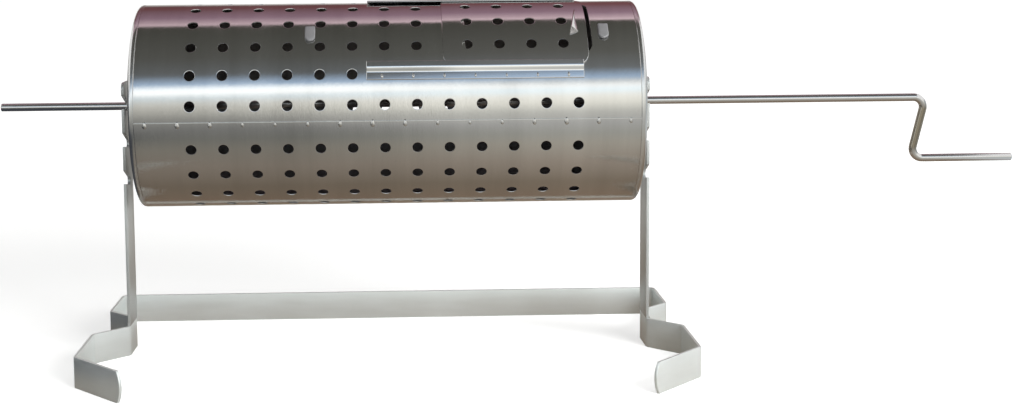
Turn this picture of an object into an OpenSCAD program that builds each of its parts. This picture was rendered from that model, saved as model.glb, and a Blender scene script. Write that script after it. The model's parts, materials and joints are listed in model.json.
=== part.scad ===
// Hand-cranked chestnut roaster: a perforated drum on a spit rod, in a notched flat-bar stand.
// Millimetres. +X runs along the rod towards the crank, +Y to the rear, +Z up.
// The origin is on the floor, under the rod, midway between the uprights.
// Angles on the drum are measured at the rod, from the front horizontal upwards.

/* [Drum] */
// Outer diameter of the drum
drum_d = 204; // [160:1:240]
// Length of the drum over its end caps
drum_len = 498; // [440:1:600]
// Thickness of the drum's sheet
sheet_t = 1.5; // [1:0.1:2]
// How far the drum is clamped off the middle, towards the crank
drum_shift = 2; // [-3:0.5:3]
// Outer radius of the end caps' rounded rim
rim_r = 4; // [3:0.5:8]
// Straight part of the end caps' rim
rim_skirt = 2; // [1:0.5:6]

/* [Perforation] */
// Diameter of the holes
hole_d = 10; // [6:0.5:12]
// Holes along the drum
hole_cols = 13; // [5:1:13]
// Holes around the drum
hole_rows = 21; // [12:1:21]
// Spacing of the holes along the drum
hole_pitch = 31; // [24:0.5:33]
// How far the hole pattern sits off the drum's middle
pattern_shift = -3.7; // [-8:0.1:8]

/* [Seam] */
// Angle of the seam's edge above the front horizontal
seam_a = -4; // [-12:1:0]
// Angle from the seam's edge to the first row of holes
seam_to_row = 8.5; // [7:0.5:12]
// Angle that the seam leaves without holes
seam_gap_a = 24; // [20:1:30]
// Width of the lap below the seam's edge
lap_w = 12; // [8:0.5:14]
// Spacing of the seam's tack welds
tack_pitch = 31; // [20:1:60]
// Distance of the tack welds below the seam's edge
tack_drop = 5; // [4:0.5:7]
// Radius of a tack weld
tack_r = 1.8; // [1.2:0.1:2.5]
// Height of a tack weld
tack_h = 0.6; // [0.4:0.1:1]

/* [Door] */
// Length of the door along the drum
door_len = 141; // [120:1:160]
// Width of the door around the drum
door_w = 106; // [100:1:112]
// Thickness of the door's sheet
door_t = 1.2; // [0.8:0.1:1.5]
// Gap between the door and the drum
door_gap = 0.4; // [0.3:0.05:0.8]
// Corner radius of the door
door_corner_r = 11; // [4:0.5:14]
// Angle of the door's middle
door_a = 55; // [52:0.5:58]
// Distance of the door, as it stands ajar, from the drum's crank end
door_inset = 55.5; // [52:0.5:60]
// Holes along the door
door_cols = 4; // [2:1:4]
// Length of the opening along the drum
mouth_len = 123; // [90:1:124]
// Width of the opening, straight across
mouth_w = 78; // [60:1:82]
// Corner radius of the opening
mouth_corner_r = 10; // [4:0.5:14]
// Distance of the opening from the drum's crank end
mouth_inset = 51.5; // [50:0.5:55]

/* [Rails] */
// Length of the rails
rail_len = 209; // [180:1:215]
// Distance of the rails from the drum's crank end
rail_inset = 61; // [56:0.5:64]
// Thickness of the rails' sheet
rail_t = 1.2; // [1:0.1:1.5]
// Width of the welded flange
rail_flange_w = 6.6; // [5:0.1:9]
// Width of the sloping web
rail_web_w = 5.4; // [5:0.1:8]
// How far the lip reaches over the door
rail_cover = 5; // [3:0.5:6]
// Gap between the lip and the door
lip_gap = 1.4; // [0.4:0.1:2]
// Gap beside the door's edge
side_gap = 1; // [0.5:0.1:2]
// Spot welds on each rail
spot_count = 7; // [3:1:9]
// Radius of a spot weld
spot_r = 1.6; // [1:0.1:2.5]
// Height of a spot weld
spot_h = 0.6; // [0.4:0.1:1]

/* [Door stops] */
// Width of a stop along the drum
stop_w = 10; // [8:0.5:14]
// Length of a stop around the drum
stop_len = 19; // [14:0.5:20]
// Height of a stop over the drum
stop_h = 3.2; // [2.5:0.1:5]
// Angle of the stops' middle
stop_a = 46.5; // [44:0.5:50]
// Travel of the door from ajar to shut
shut_travel = 11; // [6:0.5:14]
// Travel of the door from ajar to open
open_travel = 123; // [110:1:126]

/* [Door pull] */
// Length of the pull around the drum
pull_len = 36; // [24:1:40]
// Height of the pull at its free corner
pull_h = 9; // [6:0.5:12]
// Thickness of the pull
pull_t = 1.2; // [1:0.1:2]
// How far the pull leans towards the door's middle
pull_lean = 45; // [20:1:50]
// Distance of the pull's foot from the door's end
pull_inset = 7; // [6:0.5:12]
// Angle of the pull's middle
pull_a = 56; // [52:0.5:62]

/* [Rod and crank] */
// Diameter of the rod
rod_d = 8; // [6:0.5:10]
// Length of the rod to the left of the middle
rod_left = 390; // [360:1:460]
// Corner of the crank, to the right of the middle
crank_x = 555; // [480:1:620]
// Drop of the crank
crank_drop = 63; // [50:1:90]
// How far the crank arm leans back
crank_lean = 15; // [0:1:20]
// Length of the handle from the crank's lower corner
handle_len = 106; // [80:1:150]
// Bend radius at the rod's middle line
rod_bend_r = 10; // [8:0.5:14]
// Chamfer on the rod's ends
rod_chamfer = 0.8; // [0.3:0.1:1.5]

/* [Hubs] */
// Diameter of the hubs
hub_d = 20; // [18:1:30]
// Length of the hubs
hub_len = 10; // [8:0.5:14]
// Clearance of the rod in the hubs
hub_fit = 0.05; // [0.02:0.01:0.1]
// Size of the hubs' fillet welds
hub_weld = 2.5; // [1.5:0.5:3]
// Diameter of the grub screws
screw_d = 5; // [4:0.5:5]
// Width of the grub screws' hexagon socket
socket_w = 2.5; // [2:0.1:2.5]
// Angle of the grub screws
screw_a = 120; // [0:10:350]

/* [Stand] */
// Height of the rod over the floor
axis_h = 253; // [220:1:320]
// Thickness of the flat bar
bar_t = 3; // [2:0.5:5]
// Height of the base bar
bar_h = 30; // [20:1:40]
// Width of the uprights
upright_w = 40; // [34:1:50]
// Height of the uprights over the rod
upright_over = 25; // [20:1:40]
// Corner radius at the top of the uprights
upright_top_r = 7; // [2:0.5:10]
// Total play of the drum between the uprights
end_play = 8; // [7:0.5:12]
// Notches in each upright
notch_count = 3; // [1:1:3]
// Spacing of the notches
notch_pitch = 38; // [30:1:46]
// Clearance of the rod in its notch
notch_fit = 0.3; // [0.2:0.05:0.6]
// Top of the notch's mouth above its seat
mouth_top = 12.4; // [9:0.2:15]
// Bottom of the notch's mouth below its seat
mouth_low = 1; // [0:0.2:3]
// How far the base steps out beside the uprights
foot_step = 31; // [20:0.5:45]
// Reach of the base behind the rod
rear_reach = 130; // [100:1:180]
// Reach of the base in front of the rod, to the toes
front_reach = 139; // [100:1:180]
// Length of the toes
toe_len = 78; // [50:1:100]
// Turn of the toes
toe_a = 42; // [20:1:60]
// Bulge of the toes' rounded ends
toe_bulge = 5; // [1:0.5:8]
// Bend radius of the flat bar at its middle line
bar_bend_r = 7; // [5:0.5:10]
// Bend radius at the toes
toe_bend_r = 4; // [3:0.5:8]
// Radius of the uprights' weld beads
bead_r = 1.8; // [1:0.1:2.5]

/* [Hidden] */
$fn = 128;
fine = 720;            // facets of a circle that trims small pieces
weld_gap = 0.05;      // between pieces that are welded face to face on a curve
over = 1;             // how far a cut runs past what it cuts
hole_margin = 4;      // sheet kept between a hole and an edge
rise_flatness = 1.5;  // radius of the sheet's edge at the seam, against the drum's
bore_gap = 0.5;       // around the rod in an end cap
screw_sink = 0.6;     // how deep a grub screw sits in its hub
arc_steps = 6;

drum_r = drum_d / 2;
drum_end = drum_len / 2;
shell_len = drum_len - 2 * (rim_r + rim_skirt);
hole_r = hole_d / 2;
punch_len = 6 * sheet_t;
row_step = (360 - seam_gap_a) / (hole_rows - 1);
row_angles = [for (i = [0:hole_rows - 1]) seam_a + seam_to_row + i * row_step];
col_places = [for (i = [0:hole_cols - 1]) pattern_shift + (i - (hole_cols - 1) / 2) * hole_pitch];

// Above the last row of holes the lower sheet rises to the seam on a flatter arc, over the upper sheet
hole_keep = hole_r + hole_margin;
risen_r = drum_r + sheet_t;
rise_r = rise_flatness * drum_r;
rise_foot_a = seam_a + seam_to_row - seam_gap_a + arc_angle(hole_keep);
rise_foot = polar(drum_r, rise_foot_a);
rise_edge = polar(risen_r, seam_a);
rise_chord = rise_edge - rise_foot;
rise_depth = sqrt(rise_r * rise_r / (rise_chord * rise_chord) - 0.25);
rise_centre = (rise_foot + rise_edge) / 2 + rise_depth * [rise_chord[1], -rise_chord[0]];
lap_end_a = seam_a - arc_angle(lap_w);

door_x = drum_end - door_inset - door_len / 2;
door_in_r = drum_r + door_gap;
door_out_r = door_in_r + door_t;
door_half_a = arc_angle(door_w) / 2;
door_across = 2 * door_out_r * sin(door_half_a);
mouth_x = drum_end - mouth_inset - mouth_len / 2;
mouth_half_a = asin(mouth_w / 2 / drum_r);

rail_x = drum_end - rail_inset - rail_len / 2;
flange_in_r = drum_r + weld_gap;
flange_out_r = flange_in_r + rail_t;
lip_in_r = door_out_r + lip_gap;
lip_out_r = lip_in_r + rail_t;
lip_tip_a = door_half_a - arc_angle(rail_cover);
lip_root_a = door_half_a + arc_angle(side_gap);
web_foot_a = lip_root_a + arc_angle(rail_web_w);
flange_end_a = web_foot_a + arc_angle(rail_flange_w);
rail_mid_a = (lip_tip_a + flange_end_a) / 2;
rail_half_a = (flange_end_a - lip_tip_a) / 2;

rod_r = rod_d / 2;
arm_turn = 90 + atan(crank_lean / crank_drop);
arm_len = sqrt(crank_drop * crank_drop + crank_lean * crank_lean);
bend_trim = rod_bend_r * tan(arm_turn / 2);
bend_swell = 0.04;    // a bend is this much fatter than the straight rod
bend_let = 0.4;       // how far a straight length is let into a bend

screw_len = hub_d / 2 - rod_r - screw_sink;

upright_in = drum_end + hub_len + end_play / 2;
upright_mid = upright_in + bar_t / 2;
upright_top = axis_h + upright_over;
seat_r = rod_r + notch_fit;
foot_x = upright_mid + foot_step;
joggle_y = upright_w / 2 + foot_step;
toe_tip = [foot_x - toe_len * sin(toe_a), -front_reach - toe_len * cos(toe_a)];
bend_steps = 8;
// Corners of the base bar's middle line on the right, from the crossbar to the toe, and their bend radii
bar_right = [[foot_x, rear_reach], [foot_x, joggle_y], [upright_mid, upright_w / 2],
             [upright_mid, -upright_w / 2], [foot_x, -joggle_y], [foot_x, -front_reach], toe_tip];
bends_right = [for (i = [0:5]) i == 5 ? toe_bend_r : bar_bend_r];
bar_path = concat([for (i = [6:-1:0]) [-bar_right[i][0], bar_right[i][1]]], bar_right);
bar_bends = concat([for (i = [5:-1:0]) bends_right[i]], bends_right);

// Angle that a width takes up on the drum's surface
function arc_angle(w) = w / drum_r * 180 / PI;
// Point of the drum's cross section, across and up
function polar(r, a) = [-r * cos(a), r * sin(a)];
// Points of an arc around the rod
function arc(r, a0, a1) = [for (i = [0:arc_steps]) polar(r, a0 + (a1 - a0) * i / arc_steps)];
// Whether a hole of the pattern is clear of the opening and the rails
function in_mouth(x, a) = abs(x - mouth_x) < mouth_len / 2 + hole_keep
    && abs(a - door_a) < mouth_half_a + arc_angle(hole_keep);
function under_rail(x, a) = abs(x - rail_x) < rail_len / 2 + hole_r
    && abs(abs(a - door_a) - rail_mid_a) < rail_half_a + arc_angle(hole_r);

// Places what is drawn around the X axis onto the rod's axis
module on_rod() { translate([0, 0, axis_h]) children(); }
// Places what is drawn around the X axis onto the drum's middle
module on_drum() { translate([drum_shift, 0, axis_h]) children(); }
// Extrudes a cross section along X, with its middle at x
module along(x, len) { translate([x - len / 2, 0, 0]) rotate([90, 0, 90]) linear_extrude(len) children(); }
// Turns Z to the outward direction at an angle of the drum, with Y up around it
module radial(x, a) { translate([x, 0, 0]) rotate([90 - a, 0, 0]) children(); }
// Turns a profile drawn as radius and place along X about the X axis
module turned() { rotate([90, 0, 90]) rotate_extrude() children(); }

module sector(r, a0, a1) {
    polygon([[0, 0], polar(2 * r, a0), polar(2 * r, (a0 + a1) / 2), polar(2 * r, a1)]);
}

module ring_sector(r_in, r_out, a0, a1) {
    intersection() {
        difference() {
            circle(r_out);
            circle(r_in);
        }
        sector(r_out, a0, a1);
    }
}

module rounded_square(w, h, r) {
    square([w - 2 * r, h], center = true);
    square([w, h - 2 * r], center = true);
    for (sx = [-1, 1], sy = [-1, 1])
        translate([sx * (w / 2 - r), sy * (h / 2 - r)]) circle(r);
}

// The drum's outline with the rise below the seam's edge, for an outer or an inner face
module risen_disc(inset) {
    difference() {
        circle(risen_r - inset);
        difference() {
            circle(risen_r);
            circle(drum_r - inset);
            sector(risen_r, rise_foot_a, seam_a);
        }
        difference() {
            sector(risen_r, rise_foot_a, seam_a);
            translate(rise_centre) circle(rise_r - inset);
        }
    }
}

module shell_section() {
    difference() {
        risen_disc(0);
        difference() {
            risen_disc(sheet_t);
            ring_sector(drum_r - sheet_t, risen_r, lap_end_a, seam_a);
        }
    }
}

module hole(x, a, r_mid) {
    radial(x, a) translate([0, 0, r_mid]) cylinder(r = hole_r, h = punch_len, center = true);
}

module drum_shell() {
    color("silver") on_drum() difference() {
        along(0, shell_len) shell_section();
        for (x = col_places, a = row_angles)
            if (!in_mouth(x, a) && !under_rail(x, a)) hole(x, a, drum_r);
        radial(mouth_x, door_a)
            translate([0, 0, drum_r / 2])
            linear_extrude(drum_r) rounded_square(mouth_len, mouth_w, mouth_corner_r);
    }
}

module seam_tacks() {
    count = floor((shell_len - 2 * tack_r) / tack_pitch);
    // Angle of the tack welds at the risen sheet's own centre
    from_centre = rise_edge - rise_centre;
    tack_a = atan2(from_centre[1], -from_centre[0]) - tack_drop / rise_r * 180 / PI;
    color("gainsboro") on_drum() translate([0, rise_centre[0], rise_centre[1]])
        for (i = [0:count])
            radial((i - count / 2) * tack_pitch, tack_a) translate([0, 0, rise_r + weld_gap])
            cylinder(r = tack_r, h = tack_h);
}

module end_cap() {
    wall_r = rim_r - sheet_t;
    rim_x = drum_end - rim_r;
    bore_r = rod_r + bore_gap;
    turned() {
        translate([bore_r, drum_end - sheet_t]) square([drum_r - rim_r - bore_r, sheet_t]);
        translate([drum_r - sheet_t, rim_x - rim_skirt]) square([sheet_t, rim_skirt]);
        intersection() {
            translate([drum_r - rim_r, rim_x]) square(rim_r);
            translate([drum_r - rim_r, rim_x]) difference() {
                circle(rim_r);
                circle(wall_r);
            }
        }
    }
}

module left_end_cap() { color("silver") on_drum() mirror([1, 0, 0]) end_cap(); }
module right_end_cap() { color("silver") on_drum() end_cap(); }

module hub() {
    difference() {
        turned() translate([rod_r + hub_fit, drum_end]) square([hub_d / 2 - rod_r - hub_fit, hub_len]);
        radial(drum_end + hub_len / 2, screw_a) cylinder(d = screw_d + 2 * hub_fit, h = hub_d);
    }
}

module left_hub() { color("darkgray") on_drum() mirror([1, 0, 0]) hub(); }
module right_hub() { color("darkgray") on_drum() hub(); }

module hub_welds() {
    foot = hub_d / 2 + weld_gap;
    color("gray") on_drum() for (side = [0, 1])
        mirror([side, 0, 0]) turned()
        polygon([[foot, drum_end], [foot + hub_weld, drum_end], [foot, drum_end + hub_weld]]);
}

module hub_screws() {
    color("dimgray") on_drum() for (side = [0, 1])
        mirror([side, 0, 0])
        radial(drum_end + hub_len / 2, screw_a) translate([0, 0, rod_r + weld_gap])
        difference() {
            cylinder(d = screw_d, h = screw_len);
            translate([0, 0, screw_len / 2]) cylinder(d = socket_w / cos(30), h = screw_len, $fn = 6);
        }
}

// A bend of the rod in the XZ plane: it starts at the origin along +X and turns down
module rod_bend() {
    translate([0, 0, -rod_bend_r]) rotate([90, 0, 0]) rotate([0, 0, 90 - arm_turn])
        rotate_extrude(angle = arm_turn) translate([rod_bend_r, 0]) circle(rod_r + bend_swell);
}

// A straight length of the rod, let into the bends at its ends
module rod_run(len, let_in = 0) {
    translate([-let_in, 0, 0]) rotate([0, 90, 0]) cylinder(r = rod_r, h = len + let_in + bend_let);
}
module rod_tip() { rotate([0, 90, 0]) cylinder(r1 = rod_r, r2 = rod_r - rod_chamfer, h = rod_chamfer); }

module spit_rod() {
    low_x = crank_x - crank_lean;
    color("lightgray") on_rod() {
        translate([rod_chamfer - rod_left, 0, 0]) {
            mirror([1, 0, 0]) rod_tip();
            rod_run(rod_left - rod_chamfer + crank_x - bend_trim);
        }
        translate([crank_x - bend_trim, 0, 0]) rod_bend();
        translate([crank_x, 0, 0]) rotate([0, arm_turn, 0])
            translate([bend_trim, 0, 0]) rod_run(arm_len - 2 * bend_trim, bend_let);
        translate([low_x + bend_trim, 0, -crank_drop]) rotate([0, 180, 0]) rod_bend();
        translate([low_x + handle_len - rod_chamfer, 0, -crank_drop]) {
            rod_tip();
            mirror([1, 0, 0]) rod_run(handle_len - rod_chamfer - bend_trim);
        }
    }
}

// Joggled strip: side -1 is the front rail, side 1 the rear one
module rail(side) {
    foot = door_a + side * web_foot_a;
    root = door_a + side * lip_root_a;
    tip = door_a + side * lip_tip_a;
    end = door_a + side * flange_end_a;
    on_drum() along(rail_x, rail_len)
        polygon(concat(arc(flange_in_r, end, foot), arc(lip_in_r, root, tip),
                       arc(lip_out_r, tip, root), arc(flange_out_r, foot, end)));
}

module front_rail() { color("whitesmoke") rail(-1); }
module rear_rail() { color("whitesmoke") rail(1); }

module rail_tacks() {
    spot_a = (web_foot_a + flange_end_a) / 2;
    spot_step = rail_len / spot_count;
    color("white") on_drum() difference() {
        for (side = [-1, 1], i = [0:spot_count - 1])
            radial(rail_x + (i - (spot_count - 1) / 2) * spot_step, door_a + side * spot_a)
            translate([0, 0, flange_out_r - spot_h])
            cylinder(r = spot_r, h = 2 * spot_h, $fn = fine);
        along(rail_x, rail_len) circle(flange_out_r, $fn = fine);
    }
}

// Raised tongue with a rounded lower end, its face towards the door at x = 0, on the +X side
module door_stop() {
    intersection() {
        radial(0, stop_a) linear_extrude(2 * drum_r) {
            translate([0, stop_w / 2 - stop_len / 2]) square([stop_w, stop_len - stop_w / 2]);
            translate([stop_w / 2, stop_w / 2 - stop_len / 2]) circle(stop_w / 2);
        }
        along(stop_w / 2, 2 * stop_w) difference() {
            circle(drum_r + stop_h);
            circle(drum_r + weld_gap);
        }
    }
}

module left_door_stop() {
    color("gainsboro") on_drum() translate([door_x - door_len / 2 - open_travel, 0, 0])
        mirror([1, 0, 0]) door_stop();
}

module right_door_stop() {
    color("gainsboro") on_drum() translate([door_x + door_len / 2 + shut_travel, 0, 0]) door_stop();
}

module door_panel() {
    reach_a = door_half_a - arc_angle(hole_keep + over);
    color("silver") on_drum() difference() {
        intersection() {
            along(door_x, door_len) difference() {
                circle(door_out_r);
                circle(door_in_r);
            }
            radial(door_x, door_a) linear_extrude(2 * drum_r)
                rounded_square(door_len, door_across, door_corner_r);
        }
        for (i = [0:door_cols - 1], a = row_angles)
            if (abs(a - door_a) < reach_a)
                hole(door_x + (i - (door_cols - 1) / 2) * hole_pitch, a, door_out_r);
    }
}

// Leaning triangular tab whose foot follows the door's face
module door_pull() {
    half_len = pull_len / 2;
    sink = pull_t + half_len * half_len / drum_d;
    color("gainsboro") on_drum() difference() {
        radial(door_x + door_len / 2 - pull_inset, pull_a) translate([0, 0, door_out_r - sink])
            rotate([0, -pull_lean, 0]) rotate([0, -90, 0]) linear_extrude(pull_t)
            polygon([[0, -half_len], [sink + pull_h, -half_len], [sink, half_len], [0, half_len]]);
        along(door_x, 2 * door_len) circle(door_out_r + weld_gap, $fn = fine);
    }
}

// Direction of the bar from one point to the next, and its turn at a corner
function heading(from, to) = atan2(to[1] - from[1], to[0] - from[0]);
function turn(p, c, n) =
    let (t = heading(c, n) - heading(p, c))
    t > 180 ? t - 360 : t < -180 ? t + 360 : t;
function toward(a) = [cos(a), sin(a)];
// One face of the bar around a corner, to the left of its middle line by side
function bend_face(p, c, n, r, side) =
    let (h = heading(p, c), t = turn(p, c, n), w = sign(t),
         centre = c + r / cos(t / 2) * toward(h + t / 2 + w * 90))
    [for (i = [0:bend_steps]) centre + (r - w * side) * toward(h - w * 90 + t * i / bend_steps)];
function beside(p, h, side) = p + side * toward(h + 90);
// One face of the whole bar, from the left toe to the right one
function bar_face(side) = let (last = len(bar_path) - 1) [
    beside(bar_path[0], heading(bar_path[0], bar_path[1]), side),
    for (i = [1:last - 1])
        each bend_face(bar_path[i - 1], bar_path[i], bar_path[i + 1], bar_bends[i - 1], side),
    beside(bar_path[last], heading(bar_path[last - 1], bar_path[last]), side)];
function backwards(list) = [for (i = [len(list) - 1:-1:0]) list[i]];

// Takes the square corners off the right toe, so that its end bulges
module toe_trim() {
    bulge_r = (bar_h * bar_h / 4 + toe_bulge * toe_bulge) / (2 * toe_bulge);
    translate([toe_tip[0], toe_tip[1], bar_h / 2]) rotate(-90 - toe_a) difference() {
        translate([-toe_bulge, -bar_t, -bar_h]) cube([toe_bulge + over, 2 * bar_t, 2 * bar_h]);
        translate([-bulge_r, 0, 0]) rotate([90, 0, 0]) cylinder(r = bulge_r, h = 4 * bar_t, center = true);
    }
}

module base_bar() {
    color("lightgray") difference() {
        linear_extrude(bar_h) polygon(concat(bar_face(bar_t / 2), backwards(bar_face(-bar_t / 2))));
        for (side = [0, 1]) mirror([side, 0, 0]) toe_trim();
    }
}

// Side view of an upright, across and up, with its notches open to the front
module upright_outline() {
    half_w = upright_w / 2;
    r = upright_top_r;
    difference() {
        union() {
            translate([-half_w, bar_h]) square([upright_w, upright_top - r - bar_h]);
            translate([r - half_w, bar_h]) square([upright_w - 2 * r, upright_top - bar_h]);
            for (s = [-1, 1]) translate([s * (half_w - r), upright_top - r]) circle(r);
        }
        for (i = [0:notch_count - 1]) translate([0, axis_h - i * notch_pitch]) {
            circle(seat_r);
            polygon([[0, -seat_r], [0, seat_r], [-half_w, mouth_top], [-half_w - over, mouth_top],
                     [-half_w - over, -mouth_low], [-half_w, -mouth_low]]);
        }
    }
}

module left_upright() { color("lightgray") along(-upright_mid, bar_t) upright_outline(); }
module right_upright() { color("lightgray") along(upright_mid, bar_t) upright_outline(); }

module upright_welds() {
    bead_len = upright_w - 4 * bead_r;
    face_x = upright_in + bar_t;
    color("gray") for (side = [0, 1]) mirror([side, 0, 0]) intersection() {
        translate([face_x, 0, bar_h]) rotate([90, 0, 0])
            cylinder(r = bead_r, h = bead_len, center = true);
        translate([face_x, -upright_w / 2, 0]) cube([bar_h, upright_w, 2 * bar_h]);
    }
}

base_bar();
left_upright();
right_upright();
upright_welds();
drum_shell();
seam_tacks();
left_end_cap();
right_end_cap();
left_hub();
right_hub();
hub_welds();
hub_screws();
spit_rod();
front_rail();
rear_rail();
rail_tacks();
left_door_stop();
right_door_stop();
door_panel();
door_pull();
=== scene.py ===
# Chestnut roaster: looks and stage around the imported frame, in metres.
import json
import math
import bpy
from mathutils import Matrix, Vector


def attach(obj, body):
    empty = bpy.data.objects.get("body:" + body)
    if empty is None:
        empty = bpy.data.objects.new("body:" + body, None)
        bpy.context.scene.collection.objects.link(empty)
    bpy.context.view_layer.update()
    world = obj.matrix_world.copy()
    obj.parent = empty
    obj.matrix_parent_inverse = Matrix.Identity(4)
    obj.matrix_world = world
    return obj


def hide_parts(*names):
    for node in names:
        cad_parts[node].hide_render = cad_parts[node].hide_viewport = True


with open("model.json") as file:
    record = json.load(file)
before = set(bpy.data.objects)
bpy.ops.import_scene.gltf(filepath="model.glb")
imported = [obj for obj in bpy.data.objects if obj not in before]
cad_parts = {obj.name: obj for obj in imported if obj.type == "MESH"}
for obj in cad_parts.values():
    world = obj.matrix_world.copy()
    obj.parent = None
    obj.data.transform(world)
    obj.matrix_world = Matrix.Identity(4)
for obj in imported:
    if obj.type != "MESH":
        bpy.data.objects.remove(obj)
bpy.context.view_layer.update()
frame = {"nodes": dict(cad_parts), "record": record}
print("frame loaded:", len(frame["nodes"]), "nodes")

axisHeight = 0.253  # the rod's axis over the floor
drumMiddle = 0.002  # the drum's middle along the rod
drumRadius = 0.102
sheetThickness = 0.0015  # of the drum and its end caps
doorAngle = 55.0  # the door's middle line, in degrees from the front horizontal upwards
mergeReach = 1e-6  # vertices this close become one


class Wire:
    # One socket of a node tree: sums and products of wires become Math nodes
    def __init__(self, tree, socket=None):
        self.tree = tree
        self.socket = socket

    def make(self, kind, settings=None, inputs=None, output=0):
        node = self.tree.nodes.new(kind)
        for name, value in (settings or {}).items():
            if name == "stops":
                fillRamp(node.color_ramp, value)
            else:
                setattr(node, name, value)
        for name, value in (inputs or {}).items():
            if isinstance(value, Wire):
                self.tree.links.new(value.socket, node.inputs[name])
            else:
                node.inputs[name].default_value = value
        return Wire(self.tree, node.outputs[output]) if len(node.outputs) else node

    def also(self, output):
        # another output of the same node
        return Wire(self.tree, self.socket.node.outputs[output])

    def onObject(self):
        return self.make("ShaderNodeTexCoord", None, None, "Object")

    def parts(self):
        # a vector's x, y and z
        first = self.make("ShaderNodeSeparateXYZ", None, {0: self})
        return first, first.also("Y"), first.also("Z")

    def between(self, near, far, low=0.0, high=1.0, style="SMOOTHSTEP"):
        # goes from low to high while this value goes from near to far
        return self.make("ShaderNodeMapRange", {"interpolation_type": style},
                         {"Value": self, "From Min": near, "From Max": far, "To Min": low, "To Max": high})

    def blend(self, first, second):
        # goes from one colour to the other while this value goes from 0 to 1
        return self.make("ShaderNodeMix", {"data_type": "RGBA"}, {0: self, 6: first, 7: second}, 2)

    def math(self, operation, first, second=0.0):
        return self.make("ShaderNodeMath", {"operation": operation}, {0: first, 1: second})

    def __add__(self, other):
        return self.math("ADD", self, other)

    def __sub__(self, other):
        return self.math("SUBTRACT", self, other)

    def __rsub__(self, other):
        return self.math("SUBTRACT", other, self)

    def __mul__(self, other):
        return self.math("MULTIPLY", self, other)

    def __truediv__(self, other):
        return self.math("DIVIDE", self, other)

    def __lt__(self, other):
        return self.math("LESS_THAN", self, other)

    def __gt__(self, other):
        return self.math("GREATER_THAN", self, other)

    __radd__ = __add__
    __rmul__ = __mul__


def fillRamp(ramp, stops):
    while len(ramp.elements) < len(stops):
        ramp.elements.new(1.0)
    for element, (place, colour) in zip(ramp.elements, stops):
        element.position = place
        element.color = (*colour, 1.0)


def emptyTree(owner):
    owner.use_nodes = True
    owner.node_tree.nodes.clear()
    return Wire(owner.node_tree)


# Camera, at the photograph's angle
cameraPlan = {
    "place": (0.0072, -1.5829, 0.3998),
    "turn": -1.871,  # degrees, positive to the left
    "tilt": 5.977,  # degrees downwards
    "roll": 0.48,  # degrees
    "focal": 1557.5,  # in pixels of the picture
    "pictureWidth": 1012,
    "sensor": 36.0,  # in millimetres
    "shift": (0.0603, -0.0810),  # of the lens, in widths of the picture
}
cameraData = bpy.data.cameras.new("photoCamera")
camera = bpy.data.objects.new("photoCamera", cameraData)
bpy.context.scene.collection.objects.link(camera)
cameraData.sensor_width = cameraPlan["sensor"]
cameraData.lens = cameraPlan["focal"] / cameraPlan["pictureWidth"] * cameraPlan["sensor"]
cameraData.shift_x, cameraData.shift_y = cameraPlan["shift"]
camera.matrix_world = (
    Matrix.Translation(cameraPlan["place"])
    @ Matrix.Rotation(math.radians(cameraPlan["turn"]), 4, "Z")
    @ Matrix.Rotation(math.radians(90 - cameraPlan["tilt"]), 4, "X")
    @ Matrix.Rotation(math.radians(-cameraPlan["roll"]), 4, "Z")
)
bpy.context.scene.camera = camera
print("camera set, lens", round(cameraData.lens, 2), "mm")


# Tools for modelling
def onlyThis(piece):
    bpy.ops.object.select_all(action="DESELECT")
    piece.select_set(True)
    bpy.context.view_layer.objects.active = piece


def begin(name, primitive, **settings):
    # adds a primitive with nothing else selected
    bpy.ops.object.select_all(action="DESELECT")
    primitive(**settings)
    piece = bpy.context.object
    piece.name = name
    return piece


def worked(piece, kind, **settings):
    onlyThis(piece)
    modifier = piece.modifiers.new(kind.lower(), kind)
    for name, value in settings.items():
        setattr(modifier, name, value)
    bpy.ops.object.modifier_apply(modifier=modifier.name)


def roundRim(piece, width, segments, sharp=60, clamp=True):
    # rounds the edges that turn by more than that many degrees
    worked(piece, "BEVEL", width=width, segments=segments, limit_method="ANGLE",
           angle_limit=math.radians(sharp), use_clamp_overlap=clamp)


def editAll(piece):
    # goes into edit mode with everything selected
    onlyThis(piece)
    bpy.ops.object.mode_set(mode="EDIT")
    bpy.ops.mesh.select_all(action="SELECT")


def pick(piece, wanted):
    # goes into edit mode with those vertices selected
    onlyThis(piece)
    bpy.ops.object.mode_set(mode="EDIT")
    bpy.ops.mesh.select_mode(type="VERT")
    bpy.ops.mesh.select_all(action="DESELECT")
    bpy.ops.object.mode_set(mode="OBJECT")
    for vertex in piece.data.vertices:
        vertex.select = wanted(vertex.co)
    bpy.ops.object.mode_set(mode="EDIT")


def leaveEdit():
    bpy.ops.object.mode_set(mode="OBJECT")


def closeSpun():
    # a spun mesh has its doubles merged and its faces turned outwards
    bpy.ops.mesh.select_all(action="SELECT")
    bpy.ops.mesh.remove_doubles(threshold=mergeReach)
    bpy.ops.mesh.normals_make_consistent(inside=False)
    leaveEdit()


# Stage: a white floor that keeps the shadow, and a light tent that only the metal mirrors
stagePlan = {
    "floorSize": 60.0,
    "floorColour": (0.80, 0.80, 0.79, 1.0),
    "floorLift": (0.56, 0.92),  # glow that brings the floor up to white, near the object and far off
    "liftReach": (0.5, 2.2),
    "worldLevel": 0.14,
}
lampPlans = {
    "topLamp": {"place": (0.5, -1.0, 3.0), "size": 2.5, "power": 40.0},
    "sideLamp": {"place": (1.6, -1.9, 0.9), "size": 1.6, "power": 110.0},
}


def seenDirectly(wire):
    # 1 where the eye, or a mirror or glass in between, sees the surface
    camRay = wire.make("ShaderNodeLightPath")
    mirrored = wire.math("MAXIMUM", camRay.also("Is Glossy Ray"), camRay.also("Is Transmission Ray"))
    return wire.math("MAXIMUM", camRay, mirrored)


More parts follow.
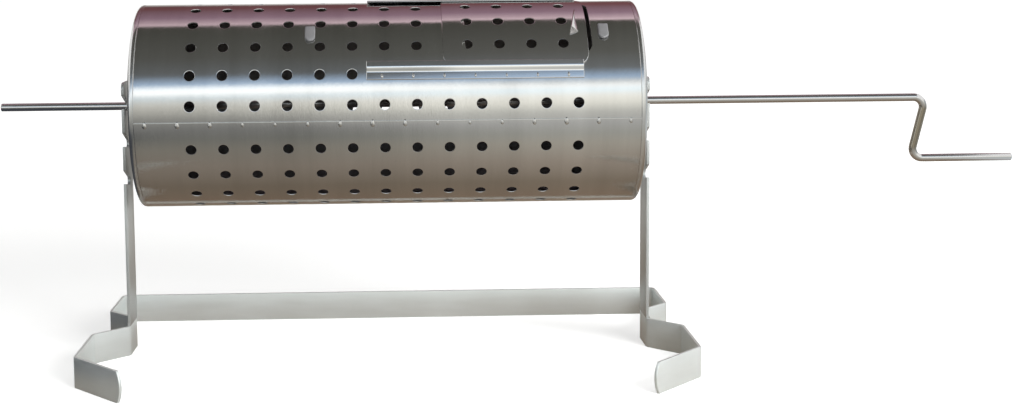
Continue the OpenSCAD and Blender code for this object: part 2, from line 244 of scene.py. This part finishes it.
def makeWorld():
    world = bpy.data.worlds.new("whiteWorld")
    bpy.context.scene.world = world
    wire = emptyTree(world)
    seen = seenDirectly(wire)
    strength = seen + (1 - seen) * stagePlan["worldLevel"]
    light = wire.make("ShaderNodeBackground", None, {"Color": (1, 1, 1, 1), "Strength": strength})
    wire.make("ShaderNodeOutputWorld", None, {"Surface": light})


def makeFloor():
    floor = begin("floor", bpy.ops.mesh.primitive_plane_add, size=stagePlan["floorSize"])
    material = bpy.data.materials.new("paleFloor")
    wire = emptyTree(material)
    matt = wire.make("ShaderNodeBsdfDiffuse", None, {"Color": stagePlan["floorColour"]})
    distance = wire.make("ShaderNodeVectorMath", {"operation": "LENGTH"}, {0: wire.onObject()}, "Value")
    lift = seenDirectly(wire) * distance.between(*stagePlan["liftReach"], *stagePlan["floorLift"])
    white = wire.make("ShaderNodeVectorMath", {"operation": "SCALE"}, {0: (1, 1, 1), "Scale": lift})
    glow = wire.make("ShaderNodeEmission", None, {"Color": white, "Strength": 1.0})
    both = wire.make("ShaderNodeAddShader", None, {0: matt, 1: glow})
    wire.make("ShaderNodeOutputMaterial", None, {"Surface": both})
    floor.data.materials.append(material)


def makeLamp(name, plan):
    lampData = bpy.data.lights.new(name, "AREA")
    lampData.shape = "SQUARE"
    lampData.size = plan["size"]
    lampData.energy = plan["power"]
    lamp = bpy.data.objects.new(name, lampData)
    bpy.context.scene.collection.objects.link(lamp)
    lamp.location = plan["place"]
    lamp.rotation_euler = Vector(plan["place"]).to_track_quat("Z", "Y").to_euler()
    lamp.visible_glossy = False  # the metal mirrors the tent alone


tentPlan = {
    "radius": 2.6,
    "sides": 128,
    "length": 4.2,
    "lift": 0.0002,  # its ground lies just over the floor
    "slack": 0.001,  # what is this close to the floor is ground, and this close to an end is wall
    "wallHeight": 0.8,  # low walls at the ends, with the white world over them
    "leftWall": (0.035, 0.04, 0.05, 1.0),
    "rightWall": (0.52, 0.56, 0.58, 1.0),
    "slant": 4.0,  # degrees that the canopy's edges climb in each metre to the right
    "rightFrom": (-0.30, 0.08),  # where the right side's light begins and is full
    "groundLag": (-3, -25, 0.15),  # from one angle to the other it begins this much further right
    "canopyLag": (14, 20, 0.25),
    "leftGround": (0.06, 0.065, 0.075, 1.0),  # shaded left of the stand
    "rightGround": (0.62, 0.66, 0.68, 1.0),  # sunlit right of it
    "leftReach": (0.31, 0.37),  # where the shade begins and is full
    "rightReach": (0.68, 0.80),
    "groundDepth": (0.45, 0.70),  # how far these patches go to the front and rear, and where they have faded
    "wallDepth": (0.9, 1.3),
    # angle at the rod, from the front horizon upwards and over to the rear, the cloth's brightness
    # there on the left, and how many times brighter it is on the right
    "stops": [
        (-180, (0.70, 0.70, 0.68), 1.15),  # horizon behind
        (-150, (0.26, 0.21, 0.16), 1.15),
        (-110, (0.20, 0.15, 0.11), 1.2),  # ground
        (-80, (0.185, 0.15, 0.115), 1.3),
        (-55, (0.25, 0.215, 0.18), 1.45),
        (-38, (0.24, 0.225, 0.195), 1.85),
        (-28, (0.195, 0.195, 0.18), 2.2),
        (-18, (0.22, 0.22, 0.215), 2.3),
        (-8, (0.33, 0.33, 0.31), 2.0),
        (2, (0.55, 0.545, 0.50), 1.9),  # horizon in front
        (9, (0.74, 0.735, 0.69), 1.6),
        (16, (0.82, 0.93, 0.99), 1.45),
        (20.5, (1.50, 1.53, 1.53), 0.88),  # bright strip
        (25, (1.42, 1.50, 1.55), 0.55),
        (29.5, (0.46, 0.62, 0.84), 0.95),
        (40, (0.145, 0.155, 0.16), 1.3),
        (60, (0.105, 0.106, 0.098), 1.25),  # dark canopy
        (106, (0.068, 0.067, 0.058), 1.15),
        (108, (0.88, 0.67, 0.73), 1.15),  # its rear edge
        (111, (0.58, 0.43, 0.48), 1.15),
        (122, (0.30, 0.19, 0.245), 1.15),
        (140, (0.20, 0.11, 0.13), 1.15),
        (148, (0.17, 0.07, 0.075), 1.15),  # red-brown wall
        (160, (0.15, 0.07, 0.075), 1.15),
        (168, (0.60, 0.58, 0.56), 1.15),
    ],
}
wallFrom = tentPlan["length"] / 2 - tentPlan["slack"]


def tentShape():
    ground = begin("tentGround", bpy.ops.mesh.primitive_plane_add, size=1, location=(0, 0, tentPlan["lift"]))
    ground.scale = (tentPlan["length"], 2 * tentPlan["radius"], 1)
    bpy.ops.object.transform_apply(location=True, rotation=True, scale=True)
    for side in (-1, 1):
        pick(ground, lambda spot: spot.x * side > wallFrom and spot.z < tentPlan["slack"])
        bpy.ops.mesh.extrude_edges_move()
        bpy.ops.transform.translate(value=(0, 0, tentPlan["wallHeight"]))
        leaveEdit()
    tent = begin("lightTent", bpy.ops.mesh.primitive_cylinder_add, vertices=tentPlan["sides"],
                 radius=tentPlan["radius"], depth=tentPlan["length"], end_fill_type="NOTHING",
                 location=(0, 0, axisHeight), rotation=(0, math.pi / 2, 0))
    bpy.ops.object.transform_apply(location=True, rotation=True, scale=True)
    editAll(tent)
    bpy.ops.mesh.bisect(plane_co=(0, 0, 0), plane_no=(0, 0, 1), clear_inner=True)
    leaveEdit()
    ground.select_set(True)
    bpy.ops.object.join()
    return tent


def tentCloth():
    material = bpy.data.materials.new("tentCloth")
    wire = emptyTree(material)
    right, across, up = wire.onObject().parts()
    angle = wire.math("ARCTAN2", up - axisHeight, across * -1.0)
    turn = (angle - right * math.radians(tentPlan["slant"])) / (2 * math.pi) + 0.5
    ramps = []
    for onRight in (False, True):
        stops = [((degrees + 180) / 360, Vector(colour) * (gain if onRight else 1))
                 for degrees, colour, gain in tentPlan["stops"]]
        ramps.append(wire.make("ShaderNodeValToRGB", {"stops": stops}, {"Fac": turn}))
    start = right
    for name in ("groundLag", "canopyLag"):
        none, full, lag = tentPlan[name]
        start = start - angle.between(math.radians(none), math.radians(full), 0.0, lag)
    cloth = start.between(*tentPlan["rightFrom"]).blend(*ramps)
    depth = wire.math("ABSOLUTE", across)
    onGround = (up < tentPlan["slack"]) * depth.between(*tentPlan["groundDepth"], 1.0, 0.0)
    onWalls = depth.between(*tentPlan["wallDepth"], 1.0, 0.0)
    for side, name in ((-1, "left"), (1, "right")):
        outwards = right * side
        beside = onGround * outwards.between(*tentPlan[name + "Reach"], style="LINEAR")
        cloth = beside.blend(cloth, tentPlan[name + "Ground"])
        cloth = ((outwards > wallFrom) * onWalls).blend(cloth, tentPlan[name + "Wall"])
    glow = wire.make("ShaderNodeEmission", None, {"Color": cloth, "Strength": 1.0})
    wire.make("ShaderNodeOutputMaterial", None, {"Surface": glow})
    return material


def makeTent():
    tent = tentShape()
    tent.data.materials.append(tentCloth())
    tent.visible_camera = False
    tent.visible_diffuse = False
    tent.visible_transmission = False
    tent.visible_shadow = False


makeWorld()
makeFloor()
for lampName, lampPlan in lampPlans.items():
    makeLamp(lampName, lampPlan)
makeTent()
print("stage ready")


# Steel finishes: a plan says where a steel differs from the usual one
usualTone = (0.35, 0.65)  # most of a noise lies between these
usualSteel = {
    "streak": 0.5,  # share of streaks along the grain, the rest being clouds
    "metallic": 1.0,
    "brush": 10,  # how much finer the scratches are than the streaks
    "depth": 0.00001,  # of the scratches
    "waves": 0.00002,  # height of the waves in the sheet
}
steelPlans = {
    "drum_steel": {"grain": (45, 4, 4), "streak": 0.6, "cloud": 10, "roughness": (0.07, 0.15),
                   "dark": (0.54, 0.535, 0.52, 1), "light": (0.88, 0.875, 0.86, 1),
                   "brush": 60, "depth": 0.00005, "waves": 0.00004,
                   # painted shade on the drum's inside, where little light gets in, and a duller inside
                   "paintedInsideShade": (0.42, 0.42, 0.43, 1), "insideShadeRadius": 0.1011, "insideRoughness": 0.5},
    "door_steel": {"grain": (60, 6, 6), "cloud": 12, "roughness": (0.08, 0.16),
                   "dark": (0.62, 0.61, 0.60, 1), "light": (0.74, 0.73, 0.72, 1),
                   "brush": 40, "depth": 0.00003, "waves": 0.00006},
    "cap_steel": {"grain": (20, 25, 25), "streak": 0.4, "cloud": 14, "roughness": (0.16, 0.28),
                  "dark": (0.66, 0.66, 0.65, 1), "light": (0.78, 0.78, 0.77, 1),
                  "brush": 40, "waves": 0.00003},
    "rail_steel": {"grain": (8, 90, 90), "streak": 0.6, "cloud": 30, "roughness": (0.08, 0.18),
                   "dark": (0.72, 0.72, 0.72, 1), "light": (0.86, 0.86, 0.86, 1)},
    "rod_steel": {"grain": (6, 120, 120), "streak": 0.6, "cloud": 25, "roughness": (0.12, 0.22),
                  "dark": (0.66, 0.66, 0.66, 1), "light": (0.82, 0.81, 0.80, 1),
                  "tint": (0.31, 0.27, 0.21, 1), "tintMiddle": 0.2215, "tintReach": (0.018, 0.030)},
    "hub_steel": {"grain": (400, 40, 40), "streak": 0.6, "cloud": 60, "roughness": (0.18, 0.32),
                  "dark": (0.46, 0.46, 0.46, 1), "light": (0.62, 0.62, 0.61, 1)},
    "screw_steel": {"grain": (200, 200, 200), "cloud": 90, "roughness": (0.30, 0.45),
                    "dark": (0.05, 0.05, 0.055, 1), "light": (0.12, 0.12, 0.13, 1)},
    "weld_metal": {"grain": (260, 260, 260), "cloud": 120, "roughness": (0.18, 0.36),
                   "dark": (0.52, 0.51, 0.49, 1), "light": (0.82, 0.81, 0.79, 1),
                   "brush": 6, "depth": 0.00003, "waves": 0.0004},
    "stand_steel": {"grain": (25, 25, 160), "cloud": 16, "roughness": (0.30, 0.44), "metallic": 0.67,
                    "dark": (0.69, 0.73, 0.72, 1), "light": (0.85, 0.89, 0.88, 1),
                    "brush": 20, "waves": 0.00003},
    # painted shade: the uprights get a darker copy of the stand's steel, its grain running up them
    "shadedUprightSteel": {"grain": (160, 160, 25), "cloud": 16, "roughness": (0.30, 0.44), "metallic": 0.72,
                      "dark": (0.48, 0.50, 0.50, 1), "light": (0.60, 0.62, 0.61, 1),
                      "brush": 20, "waves": 0.00003},
    "stop_steel": {"grain": (90, 90, 90), "cloud": 60, "roughness": (0.32, 0.48), "metallic": 0.35,
                   "dark": (0.155, 0.155, 0.16, 1), "light": (0.255, 0.255, 0.26, 1),
                   "waves": 0.00005},
}


def steel(name, changes):
    plan = {**usualSteel, **changes}
    material = bpy.data.materials.new(name)
    wire = emptyTree(material)
    place = wire.onObject()
    drawn = wire.make("ShaderNodeMapping", None, {"Vector": place, "Scale": plan["grain"]})
    streak = wire.make("ShaderNodeTexNoise", None,
                       {"Vector": drawn, "Scale": 1.0, "Detail": 6.0, "Roughness": 0.6})
    cloud = wire.make("ShaderNodeTexNoise", None, {"Vector": place, "Scale": plan["cloud"], "Detail": 4.0})
    tone = streak * plan["streak"] + cloud * (1 - plan["streak"])
    colour = tone.blend(plan["dark"], plan["light"])
    wear = tone.between(*usualTone, *plan["roughness"], "LINEAR")
    fine = wire.make("ShaderNodeVectorMath", {"operation": "SCALE"}, {0: drawn, "Scale": plan["brush"]})
    scratch = wire.make("ShaderNodeTexNoise", None, {"Vector": fine, "Scale": 1.0, "Detail": 1.0})
    waves = wire.make("ShaderNodeBump", None,
                      {"Strength": 1.0, "Distance": plan["waves"], "Height": tone}, "Normal")
    bump = wire.make("ShaderNodeBump", None,
                     {"Strength": 1.0, "Distance": plan["depth"], "Height": scratch, "Normal": waves},
                     "Normal")
    if "paintedInsideShade" in plan:  # painted shade: the drum's inside is made darker, and it is duller
        across, up = place.parts()[1:]
        rise = up - axisHeight
        inside = wire.math("SQRT", across * across + rise * rise) < plan["insideShadeRadius"]
        colour = inside.blend(colour, plan["paintedInsideShade"])
        wear = wear + inside * (plan["insideRoughness"] - wear)
    if "tint" in plan:  # the crank's arm is darker and browner
        away = wire.math("ABSOLUTE", place.parts()[2] - plan["tintMiddle"])
        colour = away.between(*plan["tintReach"], 1.0, 0.0).blend(colour, plan["tint"])
    surface = wire.make("ShaderNodeBsdfPrincipled", None,
                        {"Base Color": colour, "Metallic": plan["metallic"],
                         "Roughness": wear, "Normal": bump})
    wire.make("ShaderNodeOutputMaterial", None, {"Surface": surface})
    return material


finishes = {name: steel(name, plan) for name, plan in steelPlans.items()}
slots = {part["node"]: part["material_slot"] for part in frame["record"]["subparts"]}
for name, node in frame["nodes"].items():
    node.data.materials.clear()
    node.data.materials.append(finishes[slots[name]])
print("finishes set:", len(finishes))


# Last touches to each piece
def settle(piece, smoothAngle=40):
    # places are put in the mesh and curved faces shade smoothly
    onlyThis(piece)
    bpy.ops.object.transform_apply(location=True, rotation=True, scale=True)
    bpy.ops.object.shade_smooth_by_angle(angle=math.radians(smoothAngle))


def hand(piece, body, node, finish=None):
    # the piece takes over from its CAD node, with that node's finish unless it has its own
    piece.data.materials.clear()
    piece.data.materials.append(finishes[finish or slots[node]])
    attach(piece, body)
    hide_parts(node)
    print(piece.name, "made:", len(piece.data.polygons), "faces")


# Sheets around the drum
def aroundDrum(place, radius, degrees):
    angle = math.radians(degrees)
    return Vector((place, -radius * math.cos(angle), axisHeight + radius * math.sin(angle)))


def onFlat(degrees):
    # distance around the drum, on its sheet before rolling
    return math.radians(degrees) * drumRadius


def faceOut(piece):
    # a shell around the rod gets its faces outwards
    face = piece.data.polygons[0]
    if face.normal.y * face.center.y + face.normal.z * (face.center.z - axisHeight) < 0:
        piece.data.flip_normals()


def fromRod(spot):
    return Vector((0, spot.y, spot.z - axisHeight)).normalized()


rolledFrom = 0.985  # cosine to the radius from which a face counts as rolled


def trueNormals(piece):
    # rolled faces shade as parts of a true cylinder, whatever their mesh
    mesh = piece.data
    normals = [Vector(corner.vector) for corner in mesh.corner_normals]
    for face in mesh.polygons:
        side = face.normal.dot(fromRod(face.center))
        if abs(side) > rolledFrom:
            for corner in face.loop_indices:
                spot = mesh.vertices[mesh.loops[corner].vertex_index].co
                normals[corner] = fromRod(spot) * math.copysign(1, side)
    mesh.normals_split_custom_set(normals)


holePlan = {
    "radius": 0.005,
    "sides": 24,
    "rings": (1.4, 1.6),  # each loop around a hole is this much larger than the one before
    "pitch": 0.031,  # along the drum
    "rowStep": 16.8,  # degrees around it
    "slack": 0.00025,  # what is this close to a hole belongs to its edge
    "merge": 1e-5,  # for the borders of neighbouring cells
}


def stretchBorder(sheet, axis, place):
    # extrudes the flat sheet's open border on that side out to a place
    along = [vertex.co[axis] for vertex in sheet.data.vertices]
    border = max(along) if place > sum(along) / len(along) else min(along)
    pick(sheet, lambda spot: abs(spot[axis] - border) < holePlan["merge"])
    bpy.ops.mesh.extrude_edges_move()
    move = [0.0, 0.0, 0.0]
    move[axis] = place - border
    bpy.ops.transform.translate(value=move)
    leaveEdit()


def holeCell(name, wide, high):
    # a rectangle of flat sheet around one hole
    cell = begin(name, bpy.ops.mesh.primitive_circle_add, vertices=holePlan["sides"],
                 radius=holePlan["radius"])
    editAll(cell)
    for grow in holePlan["rings"]:
        bpy.ops.mesh.extrude_edges_move()
        bpy.ops.transform.resize(value=(grow, grow, 1), center_override=(0, 0, 0))
    leaveEdit()
    for vertex in cell.data.vertices:
        if vertex.select:  # the outermost ring becomes the cell's border
            x, y = vertex.co.xy.normalized()
            most = max(abs(x), abs(y))
            vertex.co = (wide / 2 * x / most, high / 2 * y / most, 0)
    return cell


def fillHoles(sheet, centres):
    reach = holePlan["radius"] + holePlan["slack"]
    pick(sheet, lambda spot: any(math.hypot(spot.x - x, spot.y - y) < reach for x, y in centres))
    bpy.ops.mesh.fill_holes(sides=holePlan["sides"])
    leaveEdit()


def perforatedSheet(name, plan, reach):
    # one cell is repeated, and the sheet is widened to its edges and rolled around the rod
    wide = holePlan["pitch"]
    high = onFlat(holePlan["rowStep"])
    sheet = holeCell(name, wide, high)
    for count, step in ((plan["columns"], (wide, 0, 0)), (plan["rows"], (0, high, 0))):
        worked(sheet, "ARRAY", use_relative_offset=False, use_constant_offset=True,
               constant_offset_displace=step, count=count,
               use_merge_vertices=True, merge_threshold=holePlan["merge"])
    left, low = plan["firstColumn"], onFlat(plan["firstRow"])
    sheet.location = (left, low, 0)
    onlyThis(sheet)
    bpy.ops.object.transform_apply(location=True)
    for degrees in plan["angles"]:
        stretchBorder(sheet, 1, onFlat(degrees))
    for place in plan["ends"]:
        stretchBorder(sheet, 0, place)
    if plan["plainHoles"]:
        fillHoles(sheet, [(left + column * wide, low + row * high) for column, row in plan["plainHoles"]])
    for vertex in sheet.data.vertices:
        degrees = math.degrees(vertex.co.y / drumRadius)
        vertex.co = aroundDrum(vertex.co.x, reach(degrees), degrees)
    faceOut(sheet)
    worked(sheet, "SOLIDIFY", thickness=plan["thickness"], offset=-1.0, use_even_offset=True)
    return sheet


def roundedBlock(plan):
    # a block with rounded corners that stands out of the drum at the door
    block = begin("cutter", bpy.ops.mesh.primitive_cube_add, size=1)
    block.scale = (*plan["size"], drumRadius)
    bpy.ops.object.transform_apply(scale=True)
    worked(block, "BEVEL", width=plan["corner"], segments=8, limit_method="NONE")
    outwards = Matrix.Rotation(math.radians(90 - doorAngle), 4, "X")
    block.matrix_world = (Matrix.Translation((plan["place"], 0, axisHeight)) @ outwards
                          @ Matrix.Translation((0, 0, drumRadius)))
    return block


def finishSheet(sheet, plan, cutterPlan, operation):
    # the sheet is cut by a rounded block, and its edges are softened
    block = roundedBlock(cutterPlan)
    worked(sheet, "BOOLEAN", operation=operation, object=block, solver="EXACT")
    bpy.data.objects.remove(block)
    roundRim(sheet, plan["rim"], 2, clamp=False)
    settle(sheet, plan["smooth"])
    trueNormals(sheet)


# Drum shell, its lower sheet risen over the upper one at the seam
seamPlan = {
    "edge": 356.0,  # degrees around the drum
    "foot": 345.55,  # where the rise to the edge begins
    "flatness": 1.5,  # radius of the rise, in radii of the drum
}
shellPlan = {
    "columns": 13,
    "rows": 21,
    "firstColumn": -0.1877,
    "firstRow": 4.5,  # degrees around the drum
    "angles": (-4.7, 351.0, 352.7, 354.4, 356.0),  # the sheet's edges, with loops in the rise
    "ends": (-0.222, -0.241, 0.222, 0.245),  # the same along the drum, with a loop before each end
    "plainHoles": [(column, row) for column in range(6, 13) for row in (1, 5)],  # under the rails
    "thickness": sheetThickness,
    "rim": 0.0005,
    "smooth": 35,
}
mouthPlan = {"size": (0.123, 0.078), "corner": 0.010, "place": 0.138}


def onCircle(radius, degrees):
    return Vector((radius * math.cos(math.radians(degrees)), radius * math.sin(math.radians(degrees))))


def seamReach(degrees):
    # radius of the shell's face: its last stretch follows a flatter arc from the foot to the edge
    if degrees <= seamPlan["foot"]:
        return drumRadius
    flatRadius = seamPlan["flatness"] * drumRadius
    foot = onCircle(drumRadius, seamPlan["foot"])
    edge = onCircle(drumRadius + sheetThickness, seamPlan["edge"])
    chord = edge - foot
    depth = math.sqrt((flatRadius / chord.length) ** 2 - 0.25)
    centre = (foot + edge) / 2 + depth * Vector((-chord.y, chord.x))
    along = onCircle(1.0, degrees).dot(centre)
    return along + math.sqrt(along * along - centre.length_squared + flatRadius * flatRadius)


def makeShell():
    shell = perforatedSheet("drumSheet", shellPlan, seamReach)
    finishSheet(shell, shellPlan, mouthPlan, "DIFFERENCE")
    hand(shell, "drum", "drum_shell")


# Door, the same sheet cut to a rounded panel
doorPlan = {
    "columns": 4,
    "rows": 3,
    "firstColumn": 0.0785,
    "firstRow": 38.1,  # degrees around the drum
    "angles": (24.5, 85.5),
    "ends": (0.053, 0.197),
    "plainHoles": [],
    "radius": 0.1036,
    "thickness": 0.0012,
    "rim": 0.0005,  # less than half the sheet, so that its edge stays a face
    "smooth": 35,
}
panelPlan = {"size": (0.141, 0.1024), "corner": 0.011, "place": 0.125}


def makeDoor():
    door = perforatedSheet("doorSheet", doorPlan, lambda degrees: doorPlan["radius"])
    finishSheet(door, doorPlan, panelPlan, "INTERSECT")
    hand(door, "door", "door_panel")


# Rails: strips that rise in a soft step from the drum's face to a lip over the door's edge
railPlan = {
    "ends": (-0.019, 0.190),
    "reach": 37.07,  # degrees from the door's middle line to the strip's outer edge
    "width": 0.018,
    "steps": 30,  # across the width
    "rises": (0.0071, 0.0130),  # along the strip's width
    "flange": 0.10205,
    "lip": 0.1040,
    "thickness": 0.0012,
    "rim": 0.0005,
    "smooth": 50,
}


def makeRail(name, side, node):
    rail = begin(name, bpy.ops.mesh.primitive_grid_add, x_subdivisions=1,
                 y_subdivisions=railPlan["steps"], size=1)
    low, high = railPlan["rises"]
    left, right = railPlan["ends"]
    for vertex in rail.data.vertices:
        along = (vertex.co.y + 0.5) * railPlan["width"]
        part = min(max((along - low) / (high - low), 0), 1)
        radius = railPlan["flange"] + (railPlan["lip"] - railPlan["flange"]) * part * part * (3 - 2 * part)
        degrees = doorAngle + side * (railPlan["reach"] - math.degrees(along / drumRadius))
        vertex.co = aroundDrum(left if vertex.co.x < 0 else right, radius, degrees)
    faceOut(rail)
    worked(rail, "SOLIDIFY", thickness=railPlan["thickness"], offset=1.0, use_even_offset=True)
    roundRim(rail, railPlan["rim"], 2)
    settle(rail, railPlan["smooth"])
    hand(rail, "drum", node)


# Pieces that keep their CAD shape and get rounded edges: faces that turn by less than "flat" degrees
# are joined, and edges that turn by more than "sharp" are rounded
barEdges = {"body": "stand", "flat": 0.5, "rim": 0.0004, "sharp": 40}
# the uprights take the stand's steel with painted shade
uprightEdges = {**barEdges, "finish": "shadedUprightSteel"}
hubEdges = {"body": "drum", "flat": 0.5, "rim": 0.0006, "sharp": 60}
stopEdges = {"body": "drum", "flat": 3.0, "rim": 0.0014, "sharp": 50, "finish": "stop_steel"}
pullEdges = {"body": "door", "flat": 0.5, "rim": 0.0003, "sharp": 40}
dressPlans = {
    "base_bar": barEdges,
    "left_upright": uprightEdges,
    "right_upright": uprightEdges,
    "left_hub": hubEdges,
    "right_hub": hubEdges,
    "left_door_stop": stopEdges,
    "right_door_stop": stopEdges,
    "door_pull": pullEdges,
}


def dress(node, plan):
    source = frame["nodes"][node]
    piece = bpy.data.objects.new(node + "Dressed", source.data.copy())
    bpy.context.scene.collection.objects.link(piece)
    piece.matrix_world = source.matrix_world
    editAll(piece)
    bpy.ops.mesh.remove_doubles(threshold=mergeReach)
    bpy.ops.mesh.dissolve_limited(angle_limit=math.radians(plan["flat"]))
    leaveEdit()
    roundRim(piece, plan["rim"], 3, plan["sharp"], clamp=False)
    settle(piece)
    hand(piece, plan["body"], node, plan.get("finish"))


# Spot welds: flattened drops on the seam and on the rails
dropPlan = {
    "sides": 12,
    "rings": 8,
    "foot": -0.5,  # the drop is cut off here, in radii
    "runFrom": 0.3,  # past this the melt has run to one side
    "run": (0.75, 1.2, 0.85),
    "shuffle": 7.3,  # step of the sine that makes the drops uneven
    "smooth": 60,
}
seamWelds = {
    "count": 16,
    "pitch": 0.031,
    "middle": drumMiddle,
    "radius": 0.1034,
    "degrees": (-5.5,),
    "size": (0.0019, 0.0026, 0.0009),
    "uneven": 0.25,
}
railWelds = {
    "count": 7,
    "pitch": 0.02986,
    "middle": 0.0855,
    "radius": 0.1033,
    "degrees": (19.8, 90.2),
    "size": (0.0012, 0.0021, 0.0008),
    "uneven": 0.15,
}


def firstDrop():
    drop = begin("firstDrop", bpy.ops.mesh.primitive_uv_sphere_add, segments=dropPlan["sides"],
                 ring_count=dropPlan["rings"], radius=1)
    editAll(drop)
    bpy.ops.mesh.bisect(plane_co=(0, 0, dropPlan["foot"]), plane_no=(0, 0, 1),
                        use_fill=True, clear_inner=True)
    leaveEdit()
    pick(drop, lambda spot: spot.y > dropPlan["runFrom"])
    bpy.ops.transform.resize(value=dropPlan["run"], center_override=(0, 0, 0))
    leaveEdit()
    return drop


def weldDrops(name, node, plan):
    first = firstDrop()
    drops = []
    for degrees in plan["degrees"]:
        for step in range(plan["count"]):
            place = plan["middle"] + (step - (plan["count"] - 1) / 2) * plan["pitch"]
            uneven = 1 + plan["uneven"] * math.sin(dropPlan["shuffle"] * step + degrees)
            drop = bpy.data.objects.new(name, first.data.copy())
            bpy.context.scene.collection.objects.link(drop)
            drop.matrix_world = (Matrix.Translation(aroundDrum(place, plan["radius"], degrees))
                                 @ Matrix.Rotation(math.radians(90 - degrees), 4, "X")
                                 @ Matrix.Diagonal((*[uneven * part for part in plan["size"]], 1)))
            drops.append(drop)
    bpy.data.objects.remove(first)
    onlyThis(drops[0])
    for drop in drops:
        drop.select_set(True)
    bpy.ops.object.join()
    settle(drops[0], dropPlan["smooth"])
    hand(drops[0], "drum", node)


# End caps, turned from their section
capPlan = {
    "inner": 0.243,  # the rim's edge, from the drum's middle
    "face": 0.249,
    "fillet": 0.004,
    "filletSteps": 6,
    "rim": 0.0003,
    "bore": 0.0045,
    "steps": 160,  # around the rod
}


def capSection():
    # points of the cap's section, each with its distance from the rod and its place along it
    fillet, inner, face, rim = (capPlan[name] for name in ("fillet", "inner", "face", "rim"))
    turns = [math.pi / 2 * step / capPlan["filletSteps"] for step in range(capPlan["filletSteps"] + 1)]
    bends = [[(drumRadius - fillet + radius * math.sin(turn), face - fillet + radius * math.cos(turn))
              for turn in turns] for radius in (fillet, fillet - sheetThickness)]
    edge = [(drumRadius, inner + rim), (drumRadius - rim, inner), (drumRadius - sheetThickness, inner)]
    return [(capPlan["bore"], face), *bends[0], *edge, *reversed(bends[1]),
            (capPlan["bore"], face - sheetThickness)]


def makeCap(name, side, node):
    section = capSection()
    cap = begin(name, bpy.ops.mesh.primitive_circle_add, vertices=len(section))
    for vertex, (radius, place) in zip(cap.data.vertices, section):
        vertex.co = (drumMiddle + side * place, -radius, axisHeight)
    editAll(cap)
    bpy.ops.mesh.spin(steps=capPlan["steps"], angle=2 * math.pi, center=(0, 0, axisHeight), axis=(1, 0, 0))
    closeSpun()
    settle(cap)
    hand(cap, "drum", node)


# Spit rod: a disc drawn out along the rod and spun around each bend of the crank
rodPlan = {
    "radius": 0.004,
    "sides": 28,
    "ends": (-0.38995, 0.64595),
    "crank": (0.555, 0.540),  # where the crank's arm meets the rod and the handle
    "drop": 0.063,
    "bend": 0.010,
    "steps": 14,  # in each bend
    "rim": 0.0009,
}


def makeRod():
    left, right = rodPlan["ends"]
    top, bottom = rodPlan["crank"]
    bend, drop = rodPlan["bend"], rodPlan["drop"]
    arm = Vector((bottom - top, 0, -drop))
    turn = arm.angle(Vector((1, 0, 0)))
    trim = bend * math.tan(turn / 2)
    rod = begin("spitRod", bpy.ops.mesh.primitive_circle_add, vertices=rodPlan["sides"],
                radius=rodPlan["radius"], fill_type="NGON",
                location=(left, 0, axisHeight), rotation=(0, math.pi / 2, 0))
    bpy.ops.object.transform_apply(location=True, rotation=True)
    editAll(rod)
    straights = (Vector((top - trim - left, 0, 0)), arm * (1 - 2 * trim / arm.length),
                 Vector((right - bottom - trim, 0, 0)))
    centres = ((top - trim, 0, axisHeight - bend), (bottom + trim, 0, axisHeight - drop + bend))
    for straight, centre, angle in zip(straights, centres, (-turn, turn)):  # spin turns left-handed
        bpy.ops.mesh.extrude_region_move(TRANSFORM_OT_translate={"value": straight})
        bpy.ops.mesh.spin(steps=rodPlan["steps"], angle=angle, center=centre, axis=(0, 1, 0))
    bpy.ops.mesh.extrude_region_move(TRANSFORM_OT_translate={"value": straights[-1]})
    closeSpun()
    roundRim(rod, rodPlan["rim"], 3)
    settle(rod)
    hand(rod, "drum", "spit_rod")


makeShell()
makeDoor()
makeRail("frontRail", -1, "front_rail")
makeRail("rearRail", 1, "rear_rail")
for node, plan in dressPlans.items():
    dress(node, plan)
weldDrops("seamDrops", "seam_tacks", seamWelds)
weldDrops("railDrops", "rail_tacks", railWelds)
makeCap("leftCap", -1, "left_end_cap")
makeCap("rightCap", 1, "right_end_cap")
makeRod()
print("pieces made")

bpy.context.scene.view_settings.view_transform = "Standard"
